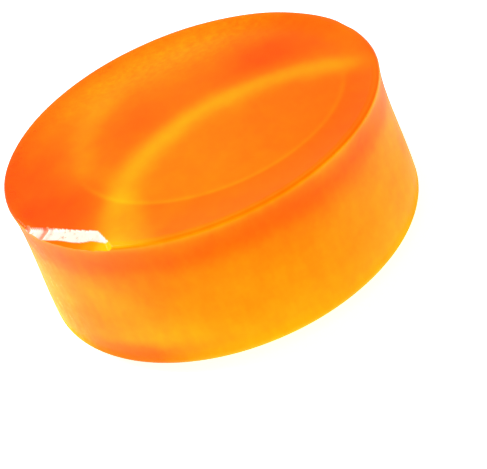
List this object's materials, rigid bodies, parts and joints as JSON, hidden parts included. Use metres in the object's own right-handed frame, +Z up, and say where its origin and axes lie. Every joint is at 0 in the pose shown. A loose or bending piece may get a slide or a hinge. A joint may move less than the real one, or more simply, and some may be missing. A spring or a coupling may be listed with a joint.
{
  "type": "rosin cake",
  "caption": "Bare round cake of translucent amber bow rosin: short drum with a flared rim, slight waist, rolled foot and shallow sunk playing face.",
  "frame": {"origin": "middle of the flat underside, on the cake's own axis", "axes": "+Z up out of the playing face; +X and +Y lie in the underside, with the flake scar towards -X -Y and the small chip towards +X"},
  "size_m": [0.0364, 0.0364, 0.0143],
  "materials": {
    "rosin": "translucent amber cast rosin, glossy with a faint bloom"
  },
  "bodies": {
    "root": {"rosin_cake": "rosin"}
  },
  "joints": []
}
